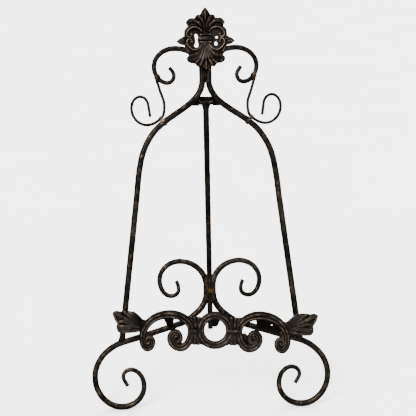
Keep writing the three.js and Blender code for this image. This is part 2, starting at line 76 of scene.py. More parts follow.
def to_row(p):
    """From x, s and n of the leaning plane."""
    p = np.asarray(p, dtype=float)
    x, s, n = p[..., 0], p[..., 1], p[..., 2]
    y = s * math.sin(LEAN) - n * math.cos(LEAN) + PLANE_Y
    z = s * math.cos(LEAN) + n * math.sin(LEAN)
    return np.stack([x, y, z], -1) * MM


def on_ledge(p):
    """From the middle of the ledge: x, height and n."""
    p = np.asarray(p, dtype=float)
    x = p[..., 0] * math.cos(LEDGE_TILT) + p[..., 1] * math.sin(LEDGE_TILT) + LEDGE_SHIFT
    s = p[..., 1] * math.cos(LEDGE_TILT) - p[..., 0] * math.sin(LEDGE_TILT) + LEDGE_S
    return to_row(np.stack([x, s, p[..., 2]], -1))


def on_leg(p):
    """From the pin: x, y and z of a leg that hangs straight down, before it is swung out."""
    p = np.asarray(p, dtype=float)
    c, s = math.cos(LEG_ANGLE), math.sin(LEG_ANGLE)
    y = p[..., 1] * c - p[..., 2] * s + PIN_Y
    z = p[..., 1] * s + p[..., 2] * c + PIN_Z
    return np.stack([p[..., 0], y, z], -1) * MM


# ---------------------------------------------------------------- courses: x, s, heading, half thickness

MAIN_ROD = [
    (114.1, 89.4, 97, BAR), (92.2, 268, 97, BAR), (88.2, 303, 98.5, BAR), (78.2, 340.2, 117, BAR),
    (64, 360.8, 135, BAR), (54.4, 369.2, 140.5, BAR), (44, 376.5, 145.5, BAR), (21.9, 391.8, 141, BAR),
    (10.4, 403.5, 124, BAR), (NECK, 422, 90, BAR), (NECK, 437, 90, BAR), (39.5, 464, 0, 3.5),
    (66, 440.8, -90, 3.1), (48.8, 419.8, -180, 2.9), (40.5, 429.2, -270, 2.65), (45.8, 439.1, -305, 2.6),
]
FOOT_ROD = [
    (108, 30.6, 62, 2.5), (113.5, 42.6, 90, 2.65), (103.5, 51.2, 180, 3), (86.9, 29.7, 270, 3.4),
    (115.3, FLOOR_S, 360, BAR), (149.8, 42.2, 450, 3.82), (112, 87, 524, BAR), (38, 109.6, 522, BAR),
    (16.8, 123.5, 500, BAR), (NECK, 150, 450, BAR), (NECK, 157, 450, BAR), (38.2, 189.6, 360, 3.5),
    (64.2, 165.4, 270, 3.2), (49.4, 145, 180, 2.9), (40, 153.1, 90, 2.6), (42.8, 164, 60, 2.5),
]
WIRE_SCROLL = [
    (63.3, 424, -108, WIRE), (59.6, 412.4, -104, WIRE), (53.6, 390.5, -90, WIRE), (58.4, 374.1, -40, WIRE),
    (76.1, 366, 0, WIRE), (96.1, 387.9, 90, WIRE), (84.8, 402.7, 180, WIRE), (74.2, 391, 264, WIRE),
    (72.2, 377, 262, WIRE),
]
# The ledge's C-scroll: outer curl from its eye, arch, then the inner curl to its eye.
C_SCROLL = [
    (81.9, -13.2, -450, 1.2), (83.5, -15.4, -360, 1.6), (86, -12.6, -270, 2.0), (81.8, -8.4, -180, 2.5),
    (77.2, -13.8, -90, 3.0), (84, -21.4, 0, 3.7), (91, -10, 90, 4.2), (84, 7.5, 130, 4.8),
    (56, 18.7, 180, 5.3), (29.6, 0, 270, 4.8), (43, -19.8, 360, 4.7), (55.8, -9, 450, 4.3),
    (49.4, -1.9, 540, 3.7), (43.4, -8.4, 630, 3.1), (48.2, -13.2, 720, 2.4), (50.9, -9.4, 810, 1.9),
    (48.2, -6.9, 900, 1.4),
]


def one_side(way, side):
    return [(side * x, s, h if side > 0 else 180 - h, half) for x, s, h, half in way]


def course(way, step=1.1):
    """Points, tangents and half thickness along a course: part of an ellipse between each two waypoints."""
    points, tangents, halves = [], [], []
    for a, b in zip(way, way[1:]):
        p0, p3 = np.array(a[:2], float), np.array(b[:2], float)
        turn = math.radians(b[2] - a[2])
        pull = 1 / 3 if abs(turn) < 0.01 else 4 / 3 * math.tan(turn / 4) / math.sin(turn)
        leave = np.array([math.cos(math.radians(a[2])), math.sin(math.radians(a[2]))])
        arrive = np.array([math.cos(math.radians(b[2])), math.sin(math.radians(b[2]))])
        chord = p3 - p0
        p1 = p0 + leave * pull * chord.dot(leave)
        p2 = p3 - arrive * pull * chord.dot(arrive)
        steps = max(3, round(np.linalg.norm(chord) * 1.08 / step))
        t = (np.arange(steps + (b is way[-1])) / steps)[:, None]
        points.append((1 - t) ** 3 * p0 + 3 * t * (1 - t) ** 2 * p1 + 3 * t * t * (1 - t) * p2 + t ** 3 * p3)
        slope = (1 - t) ** 2 * (p1 - p0) + 2 * t * (1 - t) * (p2 - p1) + t * t * (p3 - p2)
        tangents.append(slope / np.linalg.norm(slope, axis=1)[:, None])
        halves.append(a[3] + (b[3] - a[3]) * t[:, 0])
    return np.concatenate(points), np.concatenate(tangents), np.concatenate(halves)


def smooth(controls, step=0.6):
    """A Catmull-Rom line through rows of numbers, evenly enough spaced for sculpting."""
    c = np.asarray(controls, float)
    c = np.concatenate([[2 * c[0] - c[1]], c, [2 * c[-1] - c[-2]]])
    out = []
    for i in range(1, len(c) - 2):
        n = max(2, round(np.linalg.norm(c[i + 1][:3] - c[i][:3]) / step))
        t = (np.arange(n + (i == len(c) - 3)) / n)[:, None]
        a, b, d, e = c[i - 1], c[i], c[i + 1], c[i + 2]
        curve = (2 * a - 5 * b + 4 * d - e) * t ** 2 + (3 * b - a - 3 * d + e) * t ** 3
        out.append(0.5 * (2 * b + (d - a) * t + curve))
    return np.concatenate(out)


# ---------------------------------------------------------------- mesh building

class Clay:
    """Closed shells gathered into one mesh."""

    def __init__(self):
        self.verts, self.faces, self.count = [], [], 0

    def add(self, verts, faces):
        self.verts.append(np.asarray(verts, float))
        self.faces += [tuple(i + self.count for i in f) for f in faces]
        self.count += len(verts)

    def mesh(self, name, place):
        data = bpy.data.meshes.new(name)
        data.from_pydata(place(np.concatenate(self.verts)).tolist(), [], self.faces)
        bm = bmesh.new()
        bm.from_mesh(data)
        bmesh.ops.recalc_face_normals(bm, faces=bm.faces)
        bm.to_mesh(data)
        bm.free()
        data.update()
        return data


def ring_faces(rings, sides, closed=False):
    faces = []
    for i in range(rings if closed else rings - 1):
        j = (i + 1) % rings
        for k in range(sides):
            m = (k + 1) % sides
            faces.append((i * sides + k, i * sides + m, j * sides + m, j * sides + k))
    return faces


def corners(sides, square=1.0):
    """Cosines and sines round a section, which a square under 1 makes fuller at its corners."""
    turn = 2 * math.pi * (np.arange(sides) + 0.5) / sides
    return (np.sign(v) * np.abs(v) ** square for v in (np.cos(turn), np.sin(turn)))


def tube(clay, points, tangents, wide, deep, sides=28, end="cut", dents=0.0, dent_size=9.0, square=1.0):
    """A bar round a line of (x, s, n) points. Its ends are cut square with a softened edge, or rounded."""
    points = np.asarray(points, float)
    if points.shape[1] == 2:
        points = np.column_stack([points, np.zeros(len(points))])
    t = np.asarray(tangents, float)[:, :2]
    t = t / np.linalg.norm(t, axis=1)[:, None]
    wide = np.broadcast_to(np.asarray(wide, float), len(points))
    deep = np.broadcast_to(np.asarray(deep, float), len(points))
    if end == "cut":
        steps = [(0.82, 0.62), (0.93, 0.5), (1.0, 0.2)]  # scale, and how far out
        r0 = r1 = 1.0
    else:
        steps = [(math.cos(a), math.sin(a)) for a in (1.35, 1.05, 0.7, 0.35)]
        r0, r1 = wide[0], wide[-1]
    head, tail = [], []
    for scale, out in steps:
        head.append((points[0] - np.append(t[0], 0) * out * r0, t[0], wide[0] * scale, deep[0] * scale))
        tail.append((points[-1] + np.append(t[-1], 0) * out * r1, t[-1], wide[-1] * scale, deep[-1] * scale))
    rows = head + list(zip(points, t, wide, deep)) + tail[::-1]
    cos, sin = corners(sides, square)
    verts = []
    for p, tangent, w, d in rows:
        across = np.array([-tangent[1], tangent[0], 0.0])
        ring = np.outer(cos * w, across) + np.outer(sin * d, FORWARD)
        if dents:
            for k in range(sides):
                q = (p + ring[k]) / dent_size
                bump = noise.noise(Vector(q)) + 0.45 * noise.noise(Vector(q * 2.7))
                ring[k] *= 1 + dents * bump / max(w, 0.5)
        verts.append(p + ring)
    n = len(rows)
    faces = ring_faces(n, sides)
    faces += [tuple(range(sides))[::-1], tuple((n - 1) * sides + k for k in range(sides))]
    clay.add(np.concatenate(verts), faces)


def bar(clay, way, dents=0.16, sides=28, step=1.1, **keys):
    """A round bar along a course, slightly hammered."""
    points, tangents, halves = course(way, step)
    tube(clay, points, tangents, halves, halves, sides=sides, dents=dents, **keys)


def rib(clay, controls, sides=14):
    """A sculpted rib with soft ends through rows of x, s, n, half width, half depth."""
    c = smooth(controls)
    tube(clay, c[:, :3], np.gradient(c[:, :2], axis=0), np.maximum(c[:, 3], 0.3), np.maximum(c[:, 4], 0.3),
         sides=sides, end="round")


def ball(clay, centre, radius, flat=1.0):
    """A round lump, whose depth is flat times its width."""
    c = np.array([(centre[0] + radius * dx, centre[1], centre[2], 0.8 * w, 0.8 * w * flat)
                  for dx, w in ((-0.25, radius * 0.97), (0, radius), (0.25, radius * 0.97))])
    tube(clay, c[:, :3], np.tile((1.0, 0.0), (3, 1)), c[:, 3], c[:, 4], sides=16, end="round")


def closed_loop(clay, path, outward, section):
    """A closed band: each row of path has its outward direction, and section lists (out, n-wise) points."""
    path, outward = np.asarray(path, float), np.asarray(outward, float)
    verts = [p + o * a + FORWARD * b for p, o in zip(path, outward) for a, b in section]
    clay.add(verts, ring_faces(len(path), len(section), closed=True))


def ellipse(a, b, sides=14, at=(0, 0), square=1.0):
    return [(at[0] + a * c, at[1] + b * d) for c, d in zip(*corners(sides, square))]


def outline(start, rows, side=1):
    """A closed outline from a start point and rows of control and end points."""
    points, here = [], np.array(start, float)
    for cx, cy, x, y in rows:
        c, e = np.array((cx, cy), float), np.array((x, y), float)
        for t in np.arange(6) / 6:
            points.append((1 - t) ** 2 * here + 2 * t * (1 - t) * c + t * t * e)
        here = e
    points = np.array(points)
    points[:, 0] *= side
    return points


def plate(clay, loop, n0, n1, holes=()):
    """A flat plate between two n with pierced holes."""
    loops = [np.asarray(loop, float)] + [np.asarray(h, float) for h in holes]
    flat = np.concatenate(loops)
    tris = tessellate_polygon([[Vector((x, y, 0)) for x, y in one] for one in loops])
    count = len(flat)
    verts = np.concatenate([np.column_stack([flat, np.full(count, n)]) for n in (n0, n1)])
    faces = [tuple(t) for t in tris] + [tuple(i + count for i in t)[::-1] for t in tris]
    first = 0
    for one in loops:
        m = len(one)
        for k in range(m):
            a, b = first + k, first + (k + 1) % m
            faces.append((a, b, b + count, a + count))
        first += m
    clay.add(verts, faces)


def keep(data, name, body, nodes, material):
    """Puts a finished piece in the scene and says what it is."""
    piece = bpy.data.objects.new(name, data)
    bpy.context.scene.collection.objects.link(piece)
    for polygon in data.polygons:
        polygon.use_smooth = True
    data.materials.clear()
    data.materials.append(material)
    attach(piece, body)
    if nodes:
        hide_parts(*nodes)
    return piece


def baked(data, name, *modifiers):
    """The mesh after modifiers, each given as a kind and its settings."""
    carrier = bpy.data.objects.new(name + "_work", data)
    bpy.context.scene.collection.objects.link(carrier)
    for kind, settings in modifiers:
        modifier = carrier.modifiers.new(kind.lower(), kind)
        for key, value in settings.items():
            setattr(modifier, key, value)
    graph = bpy.context.evaluated_depsgraph_get()
    result = bpy.data.meshes.new_from_object(carrier.evaluated_get(graph), depsgraph=graph)
    bpy.data.objects.remove(carrier)
    result.name = name
    return result


def fused(data, name, voxel, rounds):
    """Overlapping shells melted into one soft-edged skin, as a casting or a weld has."""
    return baked(
        data, name,
        ("REMESH", {"mode": "VOXEL", "voxel_size": voxel * MM, "use_smooth_shade": True}),
        ("SMOOTH", {"iterations": rounds, "factor": 0.5}),
    )


JUST_ABOVE_FLOOR = 2e-5  # metres


def cut_level(data):
    """What stands on the table is filed flat where it would pass through it."""
    bm = bmesh.new()
    bm.from_mesh(data)
    bmesh.ops.bisect_plane(bm, geom=bm.verts[:] + bm.edges[:] + bm.faces[:], dist=1e-7,
                           plane_co=(0, 0, JUST_ABOVE_FLOOR), plane_no=(0, 0, -1), clear_outer=True)
    rim = [e for e in bm.edges if e.is_boundary]
    if rim:
        bmesh.ops.contextual_create(bm, geom=rim)
    bmesh.ops.recalc_face_normals(bm, faces=bm.faces)
    bm.to_mesh(data)
    bm.free()
    data.update()


# ---------------------------------------------------------------- scuffed copper, rust, and painted highlight and shade

def vertex_arrays(data):
    count = len(data.vertices)
    co, normal = np.empty(count * 3), np.empty(count * 3)
    data.vertices.foreach_get("co", co)
    data.vertex_normals.foreach_get("vector", normal)
    edges = np.empty(len(data.edges) * 2, dtype=np.int64)
    data.edges.foreach_get("vertices", edges)
    return co.reshape(-1, 3), normal.reshape(-1, 3), edges.reshape(-1, 2)


def relief(data, rounds):
    """How far each point stands out from its surroundings, in millimetres: ridges are positive."""
    co, normal, edges = vertex_arrays(data)
    degree = np.maximum(np.bincount(edges.ravel(), minlength=len(co)), 1)
    soft = co.copy()
    for _ in range(rounds):
        total = np.empty_like(soft)
        for axis in range(3):
            total[:, axis] = (np.bincount(edges[:, 0], soft[edges[:, 1], axis], minlength=len(co))
                              + np.bincount(edges[:, 1], soft[edges[:, 0], axis], minlength=len(co)))
        soft = 0.5 * soft + 0.5 * total / degree[:, None]
    return np.einsum("ij,ij->i", co - soft, normal) / MM


def store(data, name, values):
    layer = data.attributes.new(name, "FLOAT", "POINT")
    layer.data.foreach_set("value", np.clip(values, -1, 1).astype(np.float32))


RUST_SPOTS = [  # x, s, n, radius, strength
    (0, 164, 3, 3.6, 0.8), (0.5, 152, 3, 5, 0.6), (3, 144, 3, 3, 0.5),
    (62.1, 427.6, 2, 3.5, 0.4), (-62.1, 427.6, 2, 3, 0.2),
]


def mark(data, scuffs_and_painted_light, extra_rust=()):
    """Stores the copper scuffs with their painted highlight and shade, and how rusty the finish is, at each
    point.
    """
    co, _, _ = vertex_arrays(data)
    rust = np.zeros(len(co))
    places = [(to_row((x, s, n)), r, k) for x, s, n, r, k in RUST_SPOTS] + list(extra_rust)
    for place, radius, strength in places:
        gap = np.linalg.norm(co - place, axis=1) / (radius * MM)
        rust = np.maximum(rust, strength * np.exp(-gap * gap))
    store(data, "scuffs_and_painted_light", scuffs_and_painted_light)
    store(data, "rust", rust)


def mark_bar(data, amount=0.5, extra_rust=()):
    """Copper on a bar's top, front and back, as scuffs and painted highlight, and painted shade down its
    sides and most of all underneath.
    """
    _, normal, _ = vertex_arrays(data)
    up, front = normal[:, 2], -normal[:, 1]
    faces = ((up, 0.62), (-up, -0.3), (front, 0.5), (-front, 0.4))
    reach = sum(share * np.maximum(way, 0) for way, share in faces)
    mark(data, amount * (reach - 0.35), extra_rust)


def mark_casting(data, rounds=26, depth=0.42):
    """Copper on the ridges of a casting's front, as scuffs and painted highlight on the faces turned to the
    front; painted shade down the sides turned away, and black in its hollows.
    """
    _, normal, _ = vertex_arrays(data)
    forward = normal @ np.array((0, -math.cos(LEAN), math.sin(LEAN)))
    facing = np.clip((forward - 0.4) / 0.45, 0, 1)
    back = np.clip((-forward - 0.8) / 0.2, 0, 1)
    height = relief(data, rounds) / depth
    mark(data, np.where(height > 0, height * facing, height) - 0.6 * (1 - facing) * (1 - back))


# ---------------------------------------------------------------- finishes

class Nodes:
    """A material's nodes, written as plain calls."""

    def __init__(self, name):
        self.material = bpy.data.materials.new(name)
        self.material.use_nodes = True
        self.tree = self.material.node_tree
        self.shader = self.tree.nodes["Principled BSDF"]
        where = self.tree.nodes.new("ShaderNodeTexCoord")
        self.where = where.outputs["Object"]

    def link(self, source, target):
        self.tree.links.new(source, target)

    def noise(self, scale, detail=5.0, rough=0.6, warp=0.0):
        node = self.tree.nodes.new("ShaderNodeTexNoise")
        node.inputs["Scale"].default_value = scale
        node.inputs["Detail"].default_value = detail
        node.inputs["Roughness"].default_value = rough
        node.inputs["Distortion"].default_value = warp
        self.link(self.where, node.inputs["Vector"])
        return node.outputs["Fac"]

    def attribute(self, name):
        node = self.tree.nodes.new("ShaderNodeAttribute")
        node.attribute_name = name
        return node.outputs["Fac"]

    def math(self, operation, a, b):
        node = self.tree.nodes.new("ShaderNodeMath")
        node.operation = operation
        for socket, value in zip(node.inputs, (a, b)):
            if isinstance(value, (int, float)):
                socket.default_value = value
            else:
                self.link(value, socket)
        return node.outputs[0]

    def span(self, value, low, high, to_low=0.0, to_high=1.0):
        node = self.tree.nodes.new("ShaderNodeMapRange")
        node.interpolation_type = "SMOOTHSTEP"
        for key, number in zip(("From Min", "From Max", "To Min", "To Max"), (low, high, to_low, to_high)):
            node.inputs[key].default_value = number
        self.link(value, node.inputs["Value"])
        return node.outputs["Result"]

    def mix(self, factor, a, b):
        node = self.tree.nodes.new("ShaderNodeMix")
        node.data_type = "RGBA"
        self.link(factor, node.inputs[0])
        for socket, value in zip((node.inputs[6], node.inputs[7]), (a, b)):
            if isinstance(value, tuple):
                socket.default_value = (*value, 1)
            else:
                self.link(value, socket)
        return node.outputs[2]

    def bump(self, height, distance, strength=1.0, under=None):
        node = self.tree.nodes.new("ShaderNodeBump")
        node.inputs["Strength"].default_value = strength
        node.inputs["Distance"].default_value = distance
        self.link(height, node.inputs["Height"])
        if under is not None:
            self.link(under, node.inputs["Normal"])
        return node.outputs["Normal"]


RUST = (0.052, 0.027, 0.0085)


def bronze(name, deep, brown, copper, copper_share=1.0, rough=0.42, dent=0.00022, grain=0.00005, rust=1.0,
           copper_span=(0.16, 0.78)):
    """Near-black bronze paint: blotchy browns, copper where it is scuffed and as painted highlight, black
    hollows and painted shade, ochre rust.
    """
    n = Nodes(name)
    clouds = n.noise(38, 4, 0.6, 0.4)
    blotch = n.noise(170, 6, 0.65, 0.6)
    fleck = n.noise(720, 5, 0.7)
    fine = n.noise(2400, 3, 0.6)
    scuffs_and_painted_light = n.attribute("scuffs_and_painted_light")
    base = n.mix(n.span(clouds, 0.36, 0.66), deep, brown)
    base = n.mix(n.span(fleck, 0.5, 0.72, 0, 0.5), base, tuple(1.6 * c for c in brown))
    # Copper from the stored scuffs and painted highlight, broken up by the blotches and flecks of the paint.
    level = n.math("ADD", scuffs_and_painted_light, n.math("MULTIPLY", n.math("SUBTRACT", blotch, 0.5), 1.5))
    level = n.math("ADD", level, n.math("MULTIPLY", n.math("SUBTRACT", fleck, 0.5), 0.9))
    copper_scuff_and_highlight = n.math("MULTIPLY", n.span(level, *copper_span), copper_share)
    base = n.mix(copper_scuff_and_highlight, base, copper)
    # Black in the hollows, and painted shade down the sides and underneath, where the stored mark is
    # negative.
    dark_hollows_and_shade = n.span(n.math("MULTIPLY", scuffs_and_painted_light, -1), 0.05, 0.6, 0, 0.8)
    base = n.mix(dark_hollows_and_shade, base, tuple(0.35 * c for c in deep))
    rusty = n.math("MULTIPLY", n.attribute("rust"), n.span(blotch, 0.42, 0.62))
    rusty = n.math("MULTIPLY", rusty, rust)
    base = n.mix(rusty, base, RUST)
    n.link(base, n.shader.inputs["Base Color"])
    roughness = n.math("ADD", rough - 0.12, n.math("MULTIPLY", blotch, 0.22))
    roughness = n.math("ADD", roughness, n.math("MULTIPLY", fine, 0.1))
    roughness = n.math("SUBTRACT", roughness, n.math("MULTIPLY", copper_scuff_and_highlight, 0.1))
    roughness = n.math("ADD", roughness, n.math("MULTIPLY", dark_hollows_and_shade, 0.25))
    n.link(roughness, n.shader.inputs["Roughness"])
    metal = n.math("ADD", 0.88, n.math("MULTIPLY", copper_scuff_and_highlight, 0.12))
    metal = n.math("SUBTRACT", metal, n.math("MULTIPLY", rusty, 0.6))
    n.link(metal, n.shader.inputs["Metallic"])
    n.shader.inputs["Specular IOR Level"].default_value = 0.06
    n.shader.inputs["Specular Tint"].default_value = (0.06, 0.05, 0.045, 1)
    skin = n.bump(n.noise(150, 3, 0.55), dent, 0.9)
    skin = n.bump(blotch, grain * 2.2, 0.8, skin)
    skin = n.bump(fine, grain, 0.7, skin)
    n.link(skin, n.shader.inputs["Normal"])
    return n.material


BARS = bronze(
    "oil_rubbed_bar",
    deep=(0.0016, 0.0015, 0.0014), brown=(0.0076, 0.0064, 0.0053), copper=(0.104, 0.072, 0.051),
    rough=0.37,
)
CAST = bronze(
    "oil_rubbed_casting",
    deep=(0.0016, 0.0014, 0.0013), brown=(0.0094, 0.0079, 0.0067), copper=(0.104, 0.077, 0.057),
    rough=0.39, dent=0.00008, grain=0.00007, copper_span=(0.1, 1.15),
)
# A darker copy of the bar's bronze for the leg, as painted shade.
SHADED = bronze(
    "leg_bronze_painted_shade",
    deep=(0.0012, 0.0011, 0.001), brown=(0.0052, 0.0044, 0.0037), copper=(0.044, 0.031, 0.022),
    copper_share=0.6, rough=0.46, rust=0.6,
)
THIN = bronze(
    "dark_wire_paint",
    deep=(0.0014, 0.0013, 0.0012), brown=(0.0086, 0.0068, 0.0055), copper=(0.095, 0.068, 0.05),
    dent=0.00008, grain=0.00004,
)
# A darker copy of the bronze: painted shade on the lugs and the scrap behind the ledge, and the black of the
# hinge's plate, ears and pin.
BLACK = bronze(
    "blackened_and_painted_shade",
    deep=(0.001, 0.0009, 0.0009), brown=(0.003, 0.0026, 0.0023), copper=(0.022, 0.015, 0.0105),
    copper_share=0.7, rough=0.5, dent=0.00006,
)


# ---------------------------------------------------------------- bars and wires

def main_bar(side, word):
    clay = Clay()
    bar(clay, one_side(MAIN_ROD, side))
    data = clay.mesh(f"{word}_main_bar", to_row)
    mark_bar(data)
    keep(data, f"{word}_main_bar", "frame", [f"{word}_frame_rod"], BARS)


def foot_bar(side, word):
    clay = Clay()
    bar(clay, one_side(FOOT_ROD, side))
    data = clay.mesh(f"{word}_foot_bar", to_row)
    cut_level(data)
    mark_bar(data)
    keep(data, f"{word}_foot_bar", "frame", [f"{word}_foot_scroll"], BARS)


def wire(side, word):
    clay = Clay()
    bar(clay, one_side(WIRE_SCROLL, side), dents=0.05, sides=18, step=0.8, dent_size=6.0)
    data = clay.mesh(f"{word}_wire", to_row)
    mark_bar(data, 0.3)
    keep(data, f"{word}_wire", "frame", [f"{word}_wire_scroll"], THIN)


# ---------------------------------------------------------------- collars

BAND_SECTION = [  # how far out from the bar, and how far along it
    (0.05, -2.1), (0.62, -2.2), (0.95, -1.9), (1.02, 0), (0.95, 1.9), (0.62, 2.2), (0.05, 2.1),
]
ROUND_SCROLL = 3.2  # radius inside the upper band, which is wrapped once round the top scroll
ROUND_BAR = 4.1  # and inside the lower band, which goes round the bar and the wire beside it
ROUND_WIRE = 2.0
WIRE_APART = 6.3  # from the middle of the bar to the middle of the wire


def hoop():
    """The inner line of the upper band and its outward directions."""
    loop = np.array(ellipse(ROUND_SCROLL, ROUND_SCROLL, 40))
    return loop, loop / ROUND_SCROLL


def belt():
    """The inner line of the lower band and its outward directions."""
    swing = math.acos((ROUND_BAR - ROUND_WIRE) / WIRE_APART)
    about_bar = np.linspace(swing, 2 * math.pi - swing, 26)
    about_wire = np.linspace(-swing, swing, 14)
    out = np.array([(math.cos(a), math.sin(a)) for a in (*about_bar, *about_wire)])
    count = len(about_bar)
    loop = np.concatenate([out[:count] * ROUND_BAR, out[count:] * ROUND_WIRE + (WIRE_APART, 0)])
    return loop, out


def band(side, word, kind, spot, heading, loop, out):
    """A strip of sheet bent round a loop that is square to the bar."""
    mirror = np.array((side, 1, 1))
    along = np.array([math.cos(math.radians(heading)), math.sin(math.radians(heading)), 0])
    across = np.array([along[1], -along[0], 0]) * mirror
    along = along * mirror
    centre = np.array([*spot, 0]) * mirror
    verts = [centre + across * (p[0] + o[0] * a) + FORWARD * (p[1] + o[1] * a) + along * b
             for p, o in zip(loop, out) for a, b in BAND_SECTION]
    clay = Clay()
    clay.add(verts, ring_faces(len(loop), len(BAND_SECTION), closed=True))
    data = clay.mesh(f"{word}_{kind}_band", to_row)
    data = baked(data, f"{word}_{kind}_band", ("SUBSURF", {"levels": 1, "render_levels": 1}))
    mark_bar(data, 0.8)
    keep(data, f"{word}_{kind}_band", "frame", [f"{word}_{kind}_collar"], BARS)


# ---------------------------------------------------------------- welds

FOOT_WELD = [  # x, s, n, half width, half depth, where the main bar lands on the foot bar
    (114.35, 86.9, 0, 4.2, 4.1), (114.2, 88.6, 0, 4.9, 4.7), (114.0, 90.4, 0, 4.75, 4.6),
    (113.8, 92.0, 0, 4.2, 4.15), (113.65, 93.4, 0, 3.9, 3.9),
]
NECK_SEAMS = ((146.5, 165.5), (420.5, 437))
NECK_TACKS = ((-1.4, 156.5), (1.9, 150.2))


def bead(clay, rows, **keys):
    """A lumpy bead through rows of x, s, n, half width, half depth."""
    rows = smooth(rows, 0.5)
    tube(clay, rows[:, :3], np.gradient(rows[:, :2], axis=0), rows[:, 3], rows[:, 4], end="round", **keys)


def foot_weld(side, word):
    clay = Clay()
    bead(clay, [(side * x, s, n, w, d) for x, s, n, w, d in FOOT_WELD], dents=0.5, dent_size=2.6)
    data = clay.mesh(f"{word}_foot_weld", to_row)
    mark_bar(data, 0.3)
    keep(data, f"{word}_foot_weld", "frame", (), BARS)


def neck_welds():
    """Seams down the front and back of both necks, with two tacks on the lower one."""
    clay = Clay()
    for low, high in NECK_SEAMS:
        for front in (1, -1):
            seam = [(0, low, 1.3 * front, 1.0, 0.8), (0, low + 4, 1.9 * front, 1.45, 1.0),
                    (0, (low + high) / 2, 2.05 * front, 1.5, 1.0), (0, high - 4, 1.9 * front, 1.45, 1.0),
                    (0, high, 1.3 * front, 1.0, 0.8)]
            bead(clay, seam, sides=14, dents=0.55, dent_size=2.2)
    for x, s in NECK_TACKS:
        ball(clay, (x, s, 3.1), 1.2, 0.8)
    data = fused(clay.mesh("neck_welds", to_row), "neck_welds", 0.35, 2)
    mark_bar(data, 0.25)
    keep(data, "neck_welds", "frame", (), BARS)


# ---------------------------------------------------------------- crest casting

CREST_SHIFT = 1.3  # the crest is welded on right of the middle
CREST_PLATE = (4.7, 7.4)  # n of its back and of the ground that the leaves stand on
CREST_RELIEF = 1.08  # its ribs and rims are this much deeper than their rows say
RIB_WIDER = 1.55  # and this much wider
RIM_WIDER = 1.12
CREST_TOP = (0, 515.4)
CREST_HALF = [  # down the right side: x and s of each curve's control point and of its end
    (4.6, 511.2, 5.9, 506.6), (8.6, 505.4, 11.8, 502.6), (13, 500.2, 15.4, 499.8),
    (20.6, 498.6, 23.4, 494.6), (24.2, 491, 21.7, 488.8), (27.2, 485.4, 27.4, 477.4),
    (33, 476.6, 37, 471.6), (34, 467, 27.2, 466.8), (26.4, 458.2, 21.6, 454), (25.4, 451.4, 24.4, 446.9),
    (21, 442.9, 14.4, 443.2), (12, 438.6, 8.8, 438.9), (5.4, 440.4, 4.2, 440.4), (2.4, 437, 0, 434.8),
]
CREST_RIBS = [  # rows of x, s, n, half width and half depth, on the right side
    # the upper leaflets, one pair above the other, each with a second thin vein
    [(1.2, 487, 8.0, 1.0, 1.1), (2.3, 494, 9.0, 1.3, 1.4), (5.2, 500.2, 9.5, 1.5, 1.6),
     (9.0, 503.2, 9.2, 1.5, 1.4), (11.4, 502.2, 8.3, 1.1, 1.1)],
    [(2.9, 486.4, 8.0, 0.8, 0.9), (5.9, 494, 8.7, 0.95, 1.1), (10.2, 499.2, 8.8, 1.05, 1.1),
     (14.2, 500.0, 8.0, 0.9, 0.8)],
    [(4.3, 487.2, 8.2, 1.1, 1.2), (7.6, 493.8, 9.6, 1.6, 1.8), (13.2, 497.3, 10.4, 1.9, 2.1),
     (19.2, 497.6, 10.1, 2.1, 2.1), (22.6, 495.0, 9.0, 1.7, 1.6)],
    [(4.8, 486.2, 7.8, 1.0, 1.0), (9.4, 491.2, 8.4, 1.4, 1.3), (16.4, 492.6, 8.5, 1.5, 1.3),
     (21.0, 490.6, 7.8, 1.3, 1.0)],
    # the lower leaf's flutes
    [(4.1, 467, 8.4, 1.0, 1.1), (6.6, 459.6, 9.2, 1.3, 1.5), (12.2, 454.4, 9.7, 1.8, 1.8),
     (18.8, 452, 9.3, 1.9, 1.7), (22.6, 449.8, 8.3, 1.5, 1.2)],
    [(3.5, 465, 8.3, 0.9, 1.0), (6.4, 456, 8.9, 1.15, 1.3), (12.4, 449.6, 9.0, 1.5, 1.4),
     (19.4, 447.6, 8.2, 1.4, 1.1)],
    [(2.6, 465.4, 8.5, 0.8, 1.0), (4.3, 457, 9.2, 1.05, 1.4), (7.8, 449.8, 9.4, 1.3, 1.4),
     (12.2, 445.4, 8.5, 1.3, 1.1)],
    [(1.3, 464.4, 8.6, 0.7, 0.9), (2.0, 455.4, 9.5, 0.9, 1.3), (4.3, 448, 9.6, 1.1, 1.3),
     (7.2, 442.4, 8.5, 1.1, 1.0)],
]
